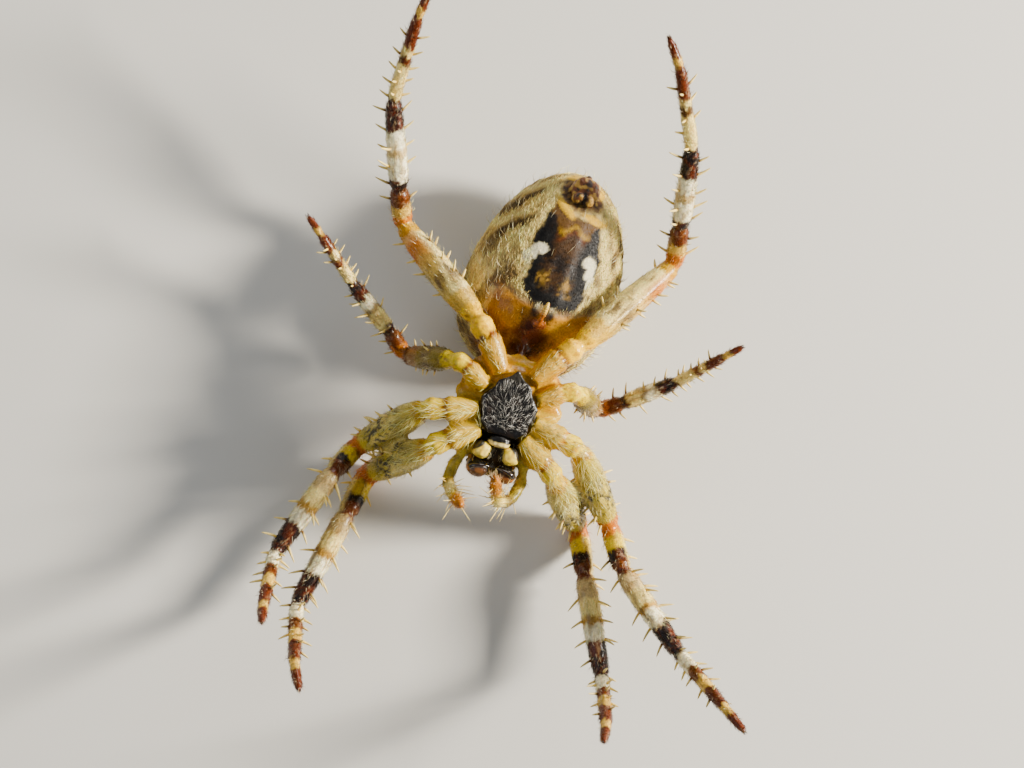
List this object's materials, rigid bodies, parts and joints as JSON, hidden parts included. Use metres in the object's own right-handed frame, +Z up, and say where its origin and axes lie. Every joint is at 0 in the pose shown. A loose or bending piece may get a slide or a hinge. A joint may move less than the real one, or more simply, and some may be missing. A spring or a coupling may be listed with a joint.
{
  "type": "orb weaver spider",
  "caption": "Life-size still model of a female cross orb weaver spider, lying on its back with its banded legs reaching up.",
  "frame": {"origin": "on the floor, under the middle of the model's box", "axes": "+Z up, towards the belly of the spider on its back; +Y towards its tail; +X towards its right legs"},
  "size_m": [0.0254, 0.0326, 0.0107],
  "materials": {
    "cuticle": "satin, mottled tan, cream and umber cuticle with darker bands on the legs",
    "dark_plate": "satin black-brown plate",
    "pale_mouth_plate": "satin pale yellow plate",
    "jaw": "glossy dark red-brown",
    "eye_lens": "polished black",
    "hair": "fine pale hair and spines"
  },
  "bodies": {
    "root": {"carapace": "cuticle", "sternum": "dark_plate", "labium": "dark_plate", "endite_left": "pale_mouth_plate", "chelicera_left": "jaw", "palp_left": "cuticle", "endite_right": "pale_mouth_plate", "chelicera_right": "jaw", "palp_right": "cuticle", "eye_front_middle_left": "eye_lens", "eye_rear_middle_left": "eye_lens", "eye_front_side_left": "eye_lens", "eye_rear_side_left": "eye_lens", "eye_front_middle_right": "eye_lens", "eye_rear_middle_right": "eye_lens", "eye_front_side_right": "eye_lens", "eye_rear_side_right": "eye_lens", "abdomen": "cuticle", "epigyne": "cuticle", "spinnerets": "cuticle", "leg_1_left_coxa": "cuticle", "leg_1_left_femur": "cuticle", "leg_1_left_patella": "cuticle", "leg_1_left_tibia": "cuticle", "leg_1_left_foot": "cuticle", "leg_2_left_coxa": "cuticle", "leg_2_left_femur": "cuticle", "leg_2_left_patella": "cuticle", "leg_2_left_tibia": "cuticle", "leg_2_left_foot": "cuticle", "leg_3_left_coxa": "cuticle", "leg_3_left_femur": "cuticle", "leg_3_left_patella": "cuticle", "leg_3_left_tibia": "cuticle", "leg_3_left_foot": "cuticle", "leg_4_left_coxa": "cuticle", "leg_4_left_femur": "cuticle", "leg_4_left_patella": "cuticle", "leg_4_left_tibia": "cuticle", "leg_4_left_foot": "cuticle", "leg_1_right_coxa": "cuticle", "leg_1_right_femur": "cuticle", "leg_1_right_patella": "cuticle", "leg_1_right_tibia": "cuticle", "leg_1_right_foot": "cuticle", "leg_2_right_coxa": "cuticle", "leg_2_right_femur": "cuticle", "leg_2_right_patella": "cuticle", "leg_2_right_tibia": "cuticle", "leg_2_right_foot": "cuticle", "leg_3_right_coxa": "cuticle", "leg_3_right_femur": "cuticle", "leg_3_right_patella": "cuticle", "leg_3_right_tibia": "cuticle", "leg_3_right_foot": "cuticle", "leg_4_right_coxa": "cuticle", "leg_4_right_femur": "cuticle", "leg_4_right_patella": "cuticle", "leg_4_right_tibia": "cuticle", "leg_4_right_foot": "cuticle"}
  },
  "joints": []
}
